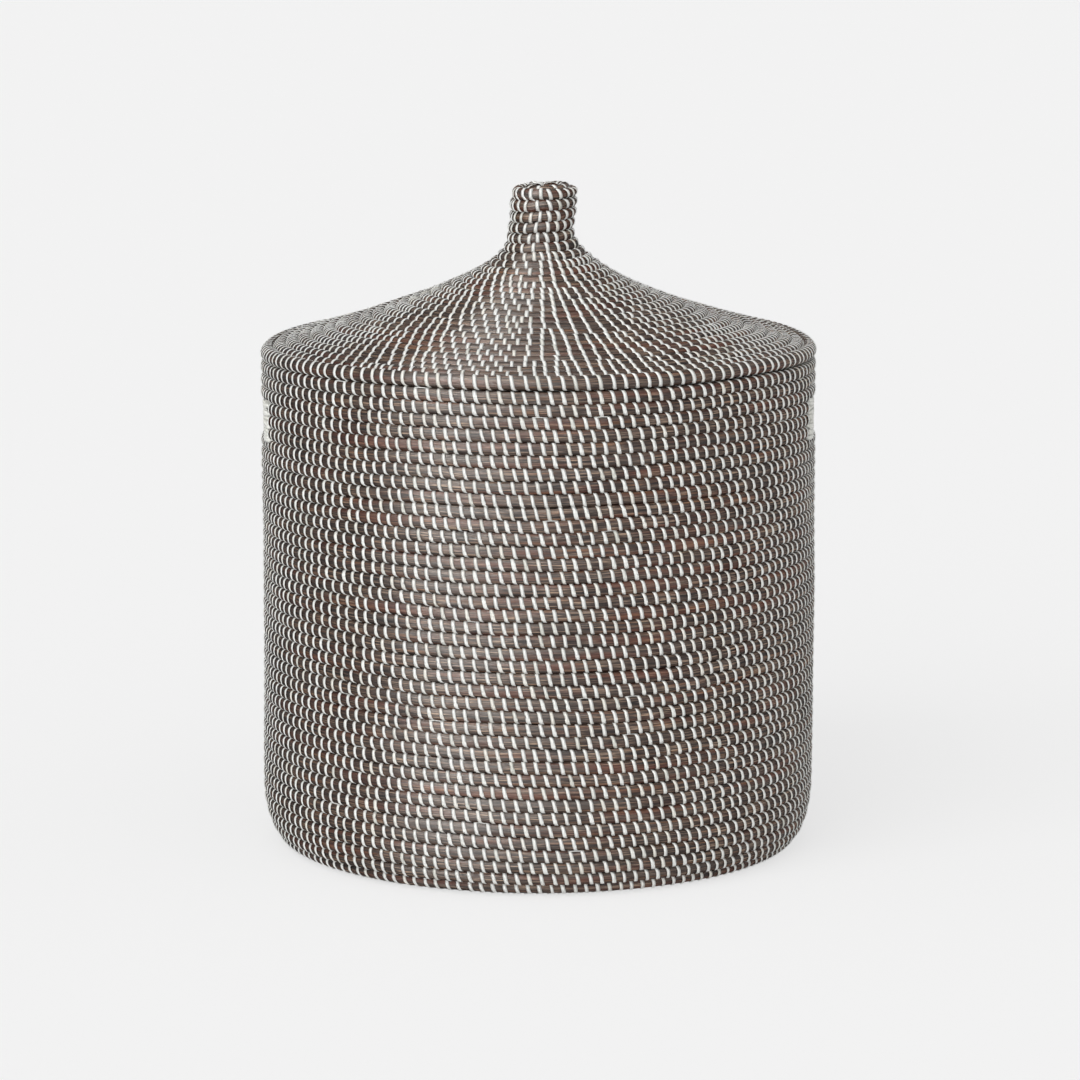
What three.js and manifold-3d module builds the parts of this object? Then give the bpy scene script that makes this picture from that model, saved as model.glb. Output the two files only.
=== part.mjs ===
// A lidded laundry hamper of coiled grass, sewn row to row with flat plastic strip.
// Millimetres, +Z up. The origin is on the floor under the middle of the base, the front
// faces -Y, and the two handholes lie towards -X and +X.

import * as THREE from 'three';
import { mergeVertices } from 'three/addons/utils/BufferGeometryUtils.js';
import Module from 'manifold-3d';

// Body: a round wall that turns in over a rounded heel to a flat base.
const bodyRadius = 250; // to the crests of the rows
const rimHeight = 451; // floor to the top of the last row
const heelReach = 28; // how far the heel draws in under the wall
const heelRise = 54; // how far up the wall the heel starts
const rowHeight = 11.3; // what one turn of the coil adds to the wall
const bundleThickness = 12; // the coil from the outside to the inside
const baseThickness = 11;
const grooveDepth = 3; // from the crest of a row down to the seam beside it
const endTaper = 0.1; // share of the last turn, at the back, over which the coil thins out
const frontTurn = 0.5; // share of a turn from there to the front, where the rows are even

// Handholes: rows left out on both sides, their ends bound with strip.
const handholeWidth = 88; // clear width between the two bindings
const handholeRows = 3;
const rowsOverHandhole = 3;
const bindingWidth = 22; // how far a binding reaches along the wall
const bindingProud = 0.6; // strip standing out past the bundle, on both faces
const bindingRound = 7; // depth of the rounded edge that the fingers meet

// Lid: a concave cone that flares down from a hollow knob to one thicker row on the rim.
const lidHeight = 149; // rim of the body to the top of the knob
const lidRowHeight = 11.3; // on the wide part of the cone
const knobRowHeight = 9.8; // on the knob and its flare, where the bundle is thinner
const thinRowRadius = 85; // up to here the rows are the thin ones
const wideRowRadius = 120; // and from here on the wide ones
const lidThickness = 11;
const lidRimThickness = 12.4; // the last row, wide and high
const knobRadius = 31;
const knobWallHeight = 35; // straight part of the knob under its cap
const knobCapHeight = 11;
const knobShoulder = 6; // rounding of the cap's edge
const knobCrown = 1.2; // how far the cap rises to its centre
const neckSpread = 4; // how far the neck leans out
const neckDrop = 34; // how far it runs down before it turns into the cone
const skirtRun = 97; // flat outer stretch of the cone, along the radius
const skirtRise = 25; // and the height it gains there

// Ring under the lid, which keeps it centred in the mouth.
const ringRows = 2;
const ringRowHeight = 10.4;
const ringThickness = 10;
const ringClearance = 4; // between the ring and the inside of the rim

// Fits and facets.
const seam = 0.3; // left open where two lengths of coil meet
const weld = 1e-3; // points nearer to each other than this are one
const sides = 36; // facets once round the body and the lid
const knobSides = 24;
const heelSteps = 5; // rings inside the rounded heel
const coneSteps = 7; // rings under the curved cone
const rulerSteps = 200; // along an outline of the lid, to count its rows
const rimFacets = 12; // facets round the section of a rim row
const bindingFacets = 6; // facets along each curve of a binding's plan

const grass = { color: 0x5f5048, roughness: 0.72, metalness: 0 };
const strip = { color: 0xe3e5dd, roughness: 0.45, metalness: 0 };

const wasm = await Module();
wasm.setup();

// What follows from the sizes above.
const heelCurve = new THREE.EllipseCurve(
  bodyRadius - heelReach, heelRise, heelReach, heelRise, -Math.PI / 2, 0);
const wallCurve = new THREE.LineCurve(
  new THREE.Vector2(bodyRadius, heelRise), new THREE.Vector2(bodyRadius, rimHeight));
const wallOutline = new THREE.CurvePath();
wallOutline.add(heelCurve);
wallOutline.add(wallCurve);
const wallRows = Math.round(wallOutline.getLength() / rowHeight);
const wallPitch = wallOutline.getLength() / wallRows;
const bodyRows = wallRows + (bodyRadius - heelReach) / rowHeight;
const heelTopRow = wallRows - Math.ceil(heelCurve.getLength() / wallPitch);
const handholeLowRow = rowsOverHandhole + handholeRows;
const heightUnder = (row) => rimHeight - row * wallPitch;
const wallRuler = {
  rowAt: (u) => (1 - u) * wallRows,
  shareAt: (row) => 1 - row / wallRows,
};

const lidBottom = rimHeight + seam;
const lidTop = rimHeight + lidHeight;
const knobCapBottom = lidTop - knobCapHeight;
const knobFoot = knobCapBottom - knobWallHeight;
const lidRimCentre = new THREE.Vector2(
  bodyRadius - lidRimThickness / 2, lidBottom + lidRimThickness / 2);
const upTheSkirt = new THREE.Vector2(-skirtRun, skirtRise);
const skirtWay = upTheSkirt.clone().normalize();
const skirtFace = new THREE.Vector2(skirtWay.y, -skirtWay.x);
const coneEdge = lidRimCentre.clone()
  .addScaledVector(skirtWay, lidRimThickness / 2 + seam)
  .addScaledVector(skirtFace, lidThickness / 2);
const coneCurve = new THREE.CubicBezierCurve(
  coneEdge,
  coneEdge.clone().add(upTheSkirt),
  new THREE.Vector2(knobRadius + neckSpread, knobFoot - neckDrop),
  new THREE.Vector2(knobRadius, knobFoot));
const knobCurve = new THREE.LineCurve(
  new THREE.Vector2(knobRadius, knobFoot), new THREE.Vector2(knobRadius, knobCapBottom));
const capLow = knobCapBottom + seam / 2;
const capEdge = lidTop - knobCrown;
const capCurve = new THREE.CurvePath();
capCurve.add(new THREE.LineCurve(
  new THREE.Vector2(knobRadius, capLow), new THREE.Vector2(knobRadius, capEdge - knobShoulder)));
capCurve.add(new THREE.EllipseCurve(knobRadius - knobShoulder, capEdge - knobShoulder,
  knobShoulder, knobShoulder, 0, Math.PI / 2));
capCurve.add(new THREE.LineCurve(
  new THREE.Vector2(knobRadius - knobShoulder, capEdge), new THREE.Vector2(0, lidTop)));
const coneRuler = lidRuler(coneCurve, 0);
const knobRuler = lidRuler(knobCurve, coneRuler.rowAt(1));
const capRuler = lidRuler(capCurve, knobRuler.rowAt(1));
const lidRows = capRuler.rowAt(1);

// Counts the rows along a stretch of the lid, on from those before it, through the middle of
// the bundle, where they lie evenly.
function lidRuler(outline, before) {
  const counts = [before];
  let last = null;
  for (let k = 0; k <= rulerSteps; k++) {
    const u = k / rulerSteps;
    const middle = pointOf(outline, u).addScaledVector(outward(outline, u), -lidThickness / 2);
    if (last) {
      const wide = THREE.MathUtils.smoothstep(middle.x, thinRowRadius, wideRowRadius);
      const height = THREE.MathUtils.lerp(knobRowHeight, lidRowHeight, wide);
      counts.push(counts[k - 1] + middle.distanceTo(last) / height);
    }
    last = middle;
  }
  return {
    rowAt: (u) => {
      const k = Math.min(Math.floor(u * rulerSteps), rulerSteps - 1);
      return THREE.MathUtils.lerp(counts[k], counts[k + 1], u * rulerSteps - k);
    },
    shareAt: (row) => {
      const above = counts.findIndex((count) => count >= row);
      const k = above < 0 ? rulerSteps : Math.max(above, 1);
      return (k - 1 + THREE.MathUtils.inverseLerp(counts[k - 1], counts[k], row)) / rulerSteps;
    },
  };
}

// The side of an outline that faces out, at a share u of its length.
function outward(outline, u) {
  const along = tangentOf(outline, u);
  return new THREE.Vector2(along.y, -along.x);
}

function pointOf(outline, u) {
  return outline instanceof THREE.CurvePath ? outline.getPoint(u) : outline.getPointAt(u);
}

function tangentOf(outline, u) {
  const step = 1e-4; // a share of the outline, short enough to follow its bends
  const before = pointOf(outline, Math.max(0, u - step));
  const after = pointOf(outline, Math.min(1, u + step));
  return after.sub(before).normalize();
}

// Points at a depth under an outline, from the share u1 back to u0.
function underside(outline, depth, u1, u0, steps) {
  return Array.from({ length: steps + 1 }, (_, k) => {
    const u = THREE.MathUtils.lerp(u1, u0, k / steps);
    return pointOf(outline, u).addScaledVector(outward(outline, u), -depth);
  });
}

// A length of coil, sewn round and round along an outline that runs upwards, between two
// shares of it. Rows are counted from the coil's end at the edge, which lies at the back, and
// total is how many the whole coil has. The seams run level at the edge and climb more and
// more towards the middle, as one unbroken bundle does, and are cut level where the length
// begins and ends. winds is 1 where the angle grows on the way back from the coil's end.
// inside gives the points that close the section, top to bottom.
function coil({ outline, ruler, total, from = 0, to = 1, winds = 1, facets = sides, inside,
  lowGap = seam / 2, topGap = seam / 2 }) {
  const low = from + lowGap / outline.getLength();
  const high = to - topGap / outline.getLength();
  const ends = [ruler.rowAt(low), ruler.rowAt(high)];
  const [first, last] = [Math.min(...ends), Math.max(...ends)];
  const halves = []; // half rows, a seam and a crest by turns
  for (let half = Math.floor(2 * first) - 2; half <= Math.ceil(2 * last) + 2; half++) {
    halves.push(half);
  }
  if (ends[0] > ends[1]) halves.reverse();
  const inner = inside(low, high);
  const positions = [];
  for (let side = 0; side <= facets; side++) {
    const angle = Math.PI * (1 + winds * 2 * (side % facets) / facets);
    const past = side / facets;
    const grown = THREE.MathUtils.smoothstep(past, 0, endTaper);
    const spread = total / (total - frontTurn - past + grown);
    const section = halves.map((half) => {
      const row = THREE.MathUtils.clamp((half / 2 - 1 + grown) * spread, first, last);
      const turn = THREE.MathUtils.euclideanModulo(row / spread + 1 - grown, 1);
      const u = ruler.shareAt(row);
      const crest = pointOf(outline, u);
      const depth = grooveDepth * Math.abs(2 * turn - 1) * Math.min(1, crest.x / rowHeight);
      return crest.addScaledVector(outward(outline, u), -depth);
    });
    for (const p of [...section, ...inner]) {
      positions.push(p.x * Math.sin(angle), -p.x * Math.cos(angle), p.y);
    }
  }
  const around = positions.length / 3 / (facets + 1);
  const index = [];
  for (let side = 0; side < facets; side++) {
    for (let k = 0; k < around; k++) {
      const a = side * around + k;
      const b = side * around + (k + 1) % around;
      const [c, d] = [a + around, b + around];
      index.push(...(winds > 0 ? [a, c, d, a, d, b] : [a, d, c, a, b, d]));
    }
  }
  return closed(positions, index);
}

// The same surface with its positions alone, and one vertex where several coincide.
function bare(geometry) {
  const copy = geometry.clone();
  copy.deleteAttribute('normal');
  copy.deleteAttribute('uv');
  return mergeVertices(copy, weld);
}

// Joins vertices that coincide and leaves out the triangles that shrink to nothing.
function closed(positions, index) {
  const loose = new THREE.BufferGeometry();
  loose.setAttribute('position', new THREE.Float32BufferAttribute(positions, 3));
  loose.setIndex(index);
  const joined = mergeVertices(loose, weld);
  const kept = [];
  const corners = joined.index.array;
  for (let k = 0; k < corners.length; k += 3) {
    const [a, b, c] = corners.slice(k, k + 3);
    if (a !== b && b !== c && c !== a) kept.push(a, b, c);
  }
  joined.setIndex(kept);
  return joined;
}

// A closed section turned round the upright axis.
function turned(points) {
  const lathe = new THREE.LatheGeometry(points, sides).rotateX(Math.PI / 2);
  return closed(Array.from(lathe.attributes.position.array), Array.from(lathe.index.array));
}

// A single row that runs level all round: a rim.
function levelRow(centreRadius, centreHeight, width, height) {
  const section = new THREE.EllipseCurve(
    centreRadius, centreHeight, width / 2, height / 2, 0, 2 * Math.PI);
  return turned(section.getPoints(rimFacets));
}

function toSolid(geometry) {
  const joined = bare(geometry);
  return new wasm.Manifold(new wasm.Mesh({
    numProp: 3,
    vertProperties: new Float32Array(joined.attributes.position.array),
    triVerts: new Uint32Array(joined.index.array),
  }));
}

function toGeometry(solid) {
  const mesh = solid.getMesh();
  return closed(Array.from(mesh.vertProperties), Array.from(mesh.triVerts));
}

// The inside of a length whose wall has the same depth everywhere.
function shell(outline, depth, steps) {
  return (u0, u1) => underside(outline, depth, u1, u0, steps);
}

// The body.
function baseCoil() {
  const radius = bodyRadius - heelReach - seam;
  return turned([
    new THREE.Vector2(0, 0),
    new THREE.Vector2(radius, 0),
    new THREE.Vector2(radius, baseThickness),
    new THREE.Vector2(0, baseThickness),
  ]);
}

function wallLength(topRow, lowRow, steps = 1) {
  return coil({
    outline: wallOutline,
    ruler: wallRuler,
    total: bodyRows,
    from: wallRuler.shareAt(lowRow),
    to: wallRuler.shareAt(topRow),
    lowGap: lowRow === wallRows ? 0 : seam / 2,
    inside: shell(wallOutline, bundleThickness, steps),
  });
}

// The rows beside the handholes, on the front (end -1) or the back (end 1).
function handholeLength(end) {
  const band = toSolid(wallLength(rowsOverHandhole, handholeLowRow));
  const cutAt = handholeWidth / 2 + bindingWidth + seam;
  const reach = 3 * bodyRadius; // a cutter wider than the whole body
  const cutter = new THREE.BoxGeometry(reach, reach, reach);
  cutter.translate(0, end * (cutAt - reach / 2), rimHeight);
  return toGeometry(band.subtract(toSolid(cutter)));
}

// The strip wound round the cut ends of the rows at one edge of a handhole.
function binding() {
  const outer = bodyRadius + bindingProud;
  const inner = bodyRadius - bundleThickness - bindingProud;
  const edge = handholeWidth / 2;
  const far = edge + bindingWidth;
  const start = edge + bindingRound;
  const across = (radius, y) => Math.sqrt(radius * radius - y * y);
  const bulge = 3 / 4; // how far a cubic goes towards its two control points
  const control = start - bindingRound / bulge;
  const plan = new THREE.Shape();
  plan.moveTo(across(inner, far), far);
  plan.lineTo(across(outer, far), far);
  plan.absarc(0, 0, outer, Math.asin(far / outer), Math.asin(start / outer), true);
  plan.bezierCurveTo(across(outer, start), control,
    across(inner, start), control, across(inner, start), start);
  plan.absarc(0, 0, inner, Math.asin(start / inner), Math.asin(far / inner), false);
  const low = heightUnder(handholeLowRow) + seam / 2;
  const height = handholeRows * wallPitch - seam;
  const post = new THREE.ExtrudeGeometry(plan, {
    depth: height, bevelEnabled: false, curveSegments: bindingFacets });
  post.translate(0, 0, low);
  return post;
}

// A copy mirrored in X, in Y or in both, by signs, with its faces still turned outwards.
function mirrored(geometry, x, y) {
  const copy = bare(geometry).scale(x, y, 1);
  if (x * y > 0) return copy;
  const corners = Array.from(copy.index.array);
  for (let k = 0; k < corners.length; k += 3) {
    [corners[k], corners[k + 1]] = [corners[k + 1], corners[k]];
  }
  copy.setIndex(corners);
  return copy;
}

function rimCoil() {
  const low = heightUnder(1) + seam / 2;
  return levelRow(bodyRadius - bundleThickness / 2, (low + rimHeight) / 2,
    bundleThickness, rimHeight - low);
}

// The lid.
function lidRimCoil() {
  const half = lidRimThickness / 2;
  return levelRow(bodyRadius - half, lidBottom + half, lidRimThickness, lidRimThickness);
}

function coneCoil() {
  return coil({
    outline: coneCurve,
    ruler: coneRuler,
    total: lidRows,
    winds: -1,
    lowGap: 0,
    inside: shell(coneCurve, lidThickness, coneSteps),
  });
}

function knobCoil() {
  return coil({
    outline: knobCurve,
    ruler: knobRuler,
    total: lidRows,
    winds: -1,
    facets: knobSides,
    inside: shell(knobCurve, lidThickness, 1),
  });
}

function knobCap() {
  return coil({
    outline: capCurve,
    ruler: capRuler,
    total: lidRows,
    winds: -1,
    facets: knobSides,
    lowGap: 0,
    topGap: 0,
    inside: () => [new THREE.Vector2(0, capLow), new THREE.Vector2(knobRadius - grooveDepth, capLow)],
  });
}

// Height of the cone's faceted underside over a point at this radius.
function undersideHeight(radius) {
  const points = underside(coneCurve, lidThickness, 1, 0, coneSteps);
  const k = points.findIndex((p) => p.x > radius);
  const [a, b] = [points[k - 1], points[k]];
  return THREE.MathUtils.mapLinear(radius, a.x, b.x, a.y, b.y);
}

// Rows that run level, each closed in itself, with a seam between them.
function locatingRing() {
  const radius = bodyRadius - bundleThickness - ringClearance;
  const top = undersideHeight(radius - grooveDepth) - seam;
  const low = top - ringRows * ringRowHeight;
  const section = [new THREE.Vector2(radius - ringThickness, low)];
  for (let half = 0; half <= 2 * ringRows; half++) {
    const depth = half % 2 ? 0 : grooveDepth;
    section.push(new THREE.Vector2(radius - depth, low + half / 2 * ringRowHeight));
  }
  section.push(new THREE.Vector2(radius - ringThickness, top));
  return turned([...section, section[0].clone()]);
}

function piece(name, geometry, finish) {
  const mesh = new THREE.Mesh(geometry, new THREE.MeshStandardMaterial(finish));
  geometry.computeVertexNormals();
  mesh.name = name;
  return mesh;
}

const body = new THREE.Group();
body.add(
  piece('base_coil', baseCoil(), grass),
  piece('heel_coil', wallLength(heelTopRow, wallRows, heelSteps), grass),
  piece('wall_coil', wallLength(handholeLowRow, heelTopRow), grass),
  piece('handhole_rows_front', handholeLength(-1), grass),
  piece('handhole_rows_back', handholeLength(1), grass),
  piece('grip_coil', wallLength(1, rowsOverHandhole), grass),
  piece('rim_coil', rimCoil(), grass),
);

const post = binding();
for (const [sideName, x] of [['left', -1], ['right', 1]]) {
  for (const [endName, y] of [['front', -1], ['back', 1]]) {
    body.add(piece(`binding_${sideName}_${endName}`, mirrored(post, x, y), strip));
  }
}

const lid = new THREE.Group();
lid.add(
  piece('lid_rim_coil', lidRimCoil(), grass),
  piece('lid_cone_coil', coneCoil(), grass),
  piece('knob_coil', knobCoil(), grass),
  piece('knob_cap_coil', knobCap(), grass),
  piece('lid_locating_ring', locatingRing(), grass),
);

const hamper = new THREE.Group();
hamper.add(body, lid);

export default hamper;
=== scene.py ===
import math

import bpy
import numpy as np
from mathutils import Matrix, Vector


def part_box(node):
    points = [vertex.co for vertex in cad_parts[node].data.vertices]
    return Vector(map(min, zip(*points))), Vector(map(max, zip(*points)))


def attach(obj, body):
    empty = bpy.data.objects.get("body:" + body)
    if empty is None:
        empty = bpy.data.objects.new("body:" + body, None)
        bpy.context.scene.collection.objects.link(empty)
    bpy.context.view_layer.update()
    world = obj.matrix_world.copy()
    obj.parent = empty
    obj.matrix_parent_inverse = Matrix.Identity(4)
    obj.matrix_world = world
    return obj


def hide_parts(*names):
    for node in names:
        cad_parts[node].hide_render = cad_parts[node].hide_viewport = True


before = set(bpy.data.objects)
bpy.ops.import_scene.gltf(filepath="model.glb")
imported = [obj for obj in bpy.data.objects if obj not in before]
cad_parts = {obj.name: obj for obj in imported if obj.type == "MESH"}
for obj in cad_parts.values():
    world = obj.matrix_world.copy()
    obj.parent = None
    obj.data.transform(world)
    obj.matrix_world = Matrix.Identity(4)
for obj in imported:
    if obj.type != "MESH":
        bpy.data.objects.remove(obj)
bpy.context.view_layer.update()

print("frame loaded")

# A lidded laundry hamper of coiled grass, sewn row to row with flat plastic strip.
# Metres, +Z up. Angles start at the front and grow towards +X.


# Colours

def tone(red, green, blue):
    # an sRGB colour, 0 to 255, as Blender's linear one
    def linear(value):
        value = value / 255
        return value / 12.92 if value <= 0.04045 else ((value + 0.055) / 1.055) ** 2.4
    return (linear(red), linear(green), linear(blue), 1.0)


def grey(value):
    return (value, value, value, 1)


# Small helpers

def smoothStep(x):
    x = np.clip(x, 0, 1)
    return x * x * (3 - 2 * x)


def between(value, low, high):
    # 0 up to low, 1 from high on
    return smoothStep((value - low) / (high - low))


def sumUp(steps):
    # how far each point lies along a way of these steps
    return np.concatenate([[0], np.cumsum(steps)])


def slowNoise(seed, distance, every, lines=1):
    # random values that change smoothly with the distance, one column for each line
    at = np.maximum(distance, 0) / every
    knots = np.random.default_rng(seed).standard_normal((int(at.max()) + 2, lines))
    low = at.astype(int)
    part = smoothStep(at - low)[:, None]
    return knots[low] * (1 - part) + knots[low + 1] * part


def around(radius, angle, height):
    # points from their distance to the axis, angle and height
    return np.stack(np.broadcast_arrays(
        radius * np.sin(angle), -radius * np.cos(angle), height), -1)


def unit(vectors):
    return vectors / np.linalg.norm(vectors, axis=-1, keepdims=True)


def signedVolume(points, faces):
    a, b, c, d = (points[faces[:, k]] for k in (0, 1, 2, -1))
    return np.einsum("ij,ij->i", a, np.cross(b, c) + np.cross(c, d)).sum()


def addObject(name, data):
    added = bpy.data.objects.new(name, data)
    bpy.context.scene.collection.objects.link(added)
    return added


def makePiece(name, points, faceGroups, layers, material):
    # a mesh object from its points, groups of (faces, whether they are smooth), and layers
    if signedVolume(points, faceGroups[0][0]) < 0:
        faceGroups = [(faces[:, ::-1], smooth) for faces, smooth in faceGroups]
    corners = np.concatenate([faces.ravel() for faces, _ in faceGroups])
    counts = np.concatenate([np.full(len(faces), faces.shape[1]) for faces, _ in faceGroups])
    smooths = np.concatenate([np.full(len(faces), smooth) for faces, smooth in faceGroups])
    starts = np.concatenate([[0], np.cumsum(counts)[:-1]])
    mesh = bpy.data.meshes.new(name)
    mesh.vertices.add(len(points))
    mesh.vertices.foreach_set("co", points.astype(np.float32).ravel())
    mesh.loops.add(len(corners))
    mesh.loops.foreach_set("vertex_index", corners.astype(np.int32))
    mesh.polygons.add(len(starts))
    mesh.polygons.foreach_set("loop_start", starts.astype(np.int32))
    mesh.polygons.foreach_set("use_smooth", smooths)
    mesh.update(calc_edges=True)
    for layerName, values in layers.items():
        layer = mesh.attributes.new(layerName, "FLOAT_VECTOR", "POINT")
        layer.data.foreach_set("vector", values.astype(np.float32).ravel())
    mesh.materials.append(material)
    return addObject(name, mesh)


def joinParts(parts):
    # several lengths of one piece: points, groups of faces and a layer, one after another
    points, layers, groups, offset = [], [], {}, 0
    for partPoints, partGroups, partLayer in parts:
        points.append(partPoints)
        layers.append(partLayer)
        for faces, smooth in partGroups:
            groups.setdefault((faces.shape[1], smooth), []).append(faces + offset)
        offset += len(partPoints)
    joined = [(np.concatenate(faces), smooth) for (_, smooth), faces in groups.items()]
    return np.concatenate(points), joined, np.concatenate(layers)


def tubeFaces(count, lines, closed=False):
    # the sides of a tube of rings with this many lines each, and its ends where it has some
    ring = np.arange(count if closed else count - 1)[:, None] * lines
    nextRing = (ring + lines) % (count * lines)
    line = np.arange(lines)[None, :]
    nextLine = (line + 1) % lines
    sides = np.stack([ring + line, ring + nextLine, nextRing + nextLine, nextRing + line], -1)
    ends = np.stack([np.arange(lines)[::-1], (count - 1) * lines + np.arange(lines)])
    return sides.reshape(-1, 4), ends


# Material nodes

def emptyTree(owner):
    owner.use_nodes = True
    owner.node_tree.nodes.clear()
    return owner.node_tree


def newMaterial(name):
    material = bpy.data.materials.new(name)
    tree = emptyTree(material)
    output = addNode(tree, "OutputMaterial")
    shader = addNode(tree, "BsdfPrincipled")
    tree.links.new(shader.outputs["BSDF"], output.inputs["Surface"])
    return material, tree, shader


def feed(tree, socket, value):
    if isinstance(value, bpy.types.NodeSocket):
        tree.links.new(value, socket)
    else:
        socket.default_value = value


def addNode(tree, kind, settings=None, inputs=None):
    node = tree.nodes.new("ShaderNode" + kind)
    for key, value in (settings or {}).items():
        setattr(node, key, value)
    for key, value in (inputs or {}).items():
        feed(tree, node.inputs[key], value)
    return node


def stretched(tree, vector, scale, shift=(0, 0, 0)):
    return addNode(tree, "Mapping", inputs={
        "Vector": vector, "Scale": scale, "Location": shift}).outputs["Vector"]


def noise(tree, vector, detail=2.0, roughness=0.5):
    node = addNode(tree, "TexNoise",
                   inputs={"Vector": vector, "Scale": 1.0, "Detail": detail, "Roughness": roughness})
    return node.outputs["Fac"]


def ramp(tree, value, stops):
    node = addNode(tree, "ValToRGB", inputs={"Fac": value})
    band = node.color_ramp
    while len(band.elements) < len(stops):
        band.elements.new(0.5)
    for element, (at, colour) in zip(band.elements, stops):
        element.position = at
        element.color = colour
    return node.outputs["Color"]


def mixColours(tree, share, first, second):
    node = addNode(tree, "Mix", {"data_type": "RGBA"}, {0: share, 6: first, 7: second})
    return node.outputs[2]


def vectorNode(tree, operation, inputs):
    return addNode(tree, "VectorMath", {"operation": operation}, inputs).outputs[0]


def roughen(tree, shader, height, strength, distance):
    bump = addNode(tree, "Bump", inputs={
        "Height": height, "Strength": strength, "Distance": distance})
    tree.links.new(bump.outputs["Normal"], shader.inputs["Normal"])


def calculate(tree, operation, first, second=0.0):
    node = addNode(tree, "Math", {"operation": operation}, {0: first, 1: second})
    return node.outputs[0]


def remap(tree, value, low, high, newLow, newHigh):
    node = addNode(tree, "MapRange", {"clamp": True}, {
        "Value": value, "From Min": low, "From Max": high, "To Min": newLow, "To Max": newHigh})
    return node.outputs["Result"]


# Grass: long dry blades that lie along the coil, so all its noise is stretched that way

noiseSpan = (0.3, 0.7)          # most values of a noise texture lie between these

grassLook = {
    "blades": [(0.41, tone(24, 17, 15)), (0.48, tone(60, 45, 39)),  # dark, brown
               (0.545, tone(85, 71, 63)), (0.615, tone(168, 143, 121))],  # grey and pale
    "bladeLength": 0.035,
    "bladeWidth": 0.0009,
    "bladeDepth": 0.0008,
    "bladeNoise": (3.0, 0.6),  # detail and roughness
    "fineShare": 0.4,          # finer blades among the others
    "fineLength": 1.8,         # so many times as many along the coil
    "fineWidth": 2.3,          # and round it
    "gaps": (0.36, 0.52),      # painted shade: between the blades it gets darker
    "gapShade": 0.35,
    "patchLength": 0.10,
    # lengths of another tone: how many along the coil, round it and from row to row, their
    # place, where they set in, and how strong they are
    "patches": [
        {"tone": tone(85, 77, 72), "along": 0.8, "across": 90, "rows": 1.3, "place": 37,
         "span": (0.52, 0.66), "share": 0.45},
        {"tone": tone(110, 57, 39), "along": 1.0, "across": 130, "rows": 1.7, "place": 11,
         "span": (0.52, 0.68), "share": 0.55},
        {"tone": tone(148, 103, 70), "along": 1.5, "across": 420, "rows": 2.3, "place": 23,
         "span": (0.60, 0.74), "share": 0.6},
    ],
    "paintedShadeSide": (-0.23, -0.10),  # painted shade: the grass gets darker and redder between these, towards -X
    # the colour of that painted shade at its full strength
    "paintedShadeTint": (0.40, 0.33, 0.28, 1),
    "roughness": (0.36, 0.56),
    "gloss": 0.55,
    "limbFade": 1.5,           # the gloss fades where the surface turns away
    "brushed": 0.9,            # the sheen is spread across the blades, not along them
    "brushTurn": 0.25,
}


def makeGrass(look):
    # layer "grain" holds: along the coil and round it in metres, and a number for each row
    material, tree, shader = newMaterial("driedGrass")
    grain = addNode(tree, "Attribute", {"attribute_name": "grain"}).outputs["Vector"]
    long, thin, patch = 1 / look["bladeLength"], 1 / look["bladeWidth"], 1 / look["patchLength"]
    blades = noise(tree, stretched(tree, grain, (long, thin, 1)), *look["bladeNoise"])
    finer = (long * look["fineLength"], thin * look["fineWidth"], 3)
    fine = noise(tree, stretched(tree, grain, finer, (7, 3, 0)))
    mixed = calculate(tree, "ADD", calculate(tree, "MULTIPLY", blades, 1 - look["fineShare"]),
                      calculate(tree, "MULTIPLY", fine, look["fineShare"]))
    colour = ramp(tree, mixed, look["blades"])
    for kind in look["patches"]:
        scale = (patch * kind["along"], kind["across"], kind["rows"])
        spots = noise(tree, stretched(tree, grain, scale, (0, 0, kind["place"])))
        share = remap(tree, spots, *kind["span"], 0, kind["share"])
        colour = mixColours(tree, share, colour, kind["tone"])
    # painted shade: towards -X the grass colour is multiplied down to a darker, redder tone
    place = addNode(tree, "TexCoord").outputs["Object"]
    aside = addNode(tree, "SeparateXYZ", inputs={"Vector": place}).outputs["X"]
    pale = remap(tree, aside, *look["paintedShadeSide"], 0, 1)
    paintedShade = mixColours(tree, pale, look["paintedShadeTint"], (1, 1, 1, 1))
    colour = vectorNode(tree, "MULTIPLY", {0: colour, 1: paintedShade})
    # painted shade between the blades, where the bump height is lowest
    shade = remap(tree, mixed, *look["gaps"], look["gapShade"], 1.0)
    colour = vectorNode(tree, "SCALE", {0: colour, "Scale": shade})
    tree.links.new(colour, shader.inputs["Base Color"])
    tree.links.new(remap(tree, fine, *noiseSpan, *look["roughness"]), shader.inputs["Roughness"])
    facing = addNode(tree, "LayerWeight", inputs={"Blend": 0.5}).outputs["Facing"]
    level = calculate(tree, "POWER", calculate(tree, "SUBTRACT", 1.0, facing), look["limbFade"])
    gloss = calculate(tree, "MULTIPLY", level, look["gloss"])
    tree.links.new(gloss, shader.inputs["Specular IOR Level"])
    alongRow = vectorNode(tree, "CROSS_PRODUCT", {0: place, 1: (0, 0, 1)})
    tree.links.new(alongRow, shader.inputs["Tangent"])
    shader.inputs["Anisotropic"].default_value = look["brushed"]
    shader.inputs["Anisotropic Rotation"].default_value = look["brushTurn"]
    roughen(tree, shader, mixed, 1.0, look["bladeDepth"])
    return material


# Strip: flat off-white plastic, faintly ribbed along its length

stripLook = {
    "tones": [(0.0, tone(206, 206, 198)), (0.15, tone(231, 232, 229)),  # dull, pale
              (0.8, tone(231, 232, 229)), (1.0, tone(226, 223, 214))],  # and warmer
    "streakTone": tone(226, 223, 214),
    "streaks": (260, 2.4, 40),  # how many along the strip, across it and from strip to strip
    "streakSpan": (0.45, 0.75),
    "streakShare": 0.35,
    "roughness": (0.34, 0.50),
    "gloss": 0.25,
    "ribs": 3.0,
    "ribDepth": 0.00012,
    "ribStrength": 0.6,
}


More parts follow.
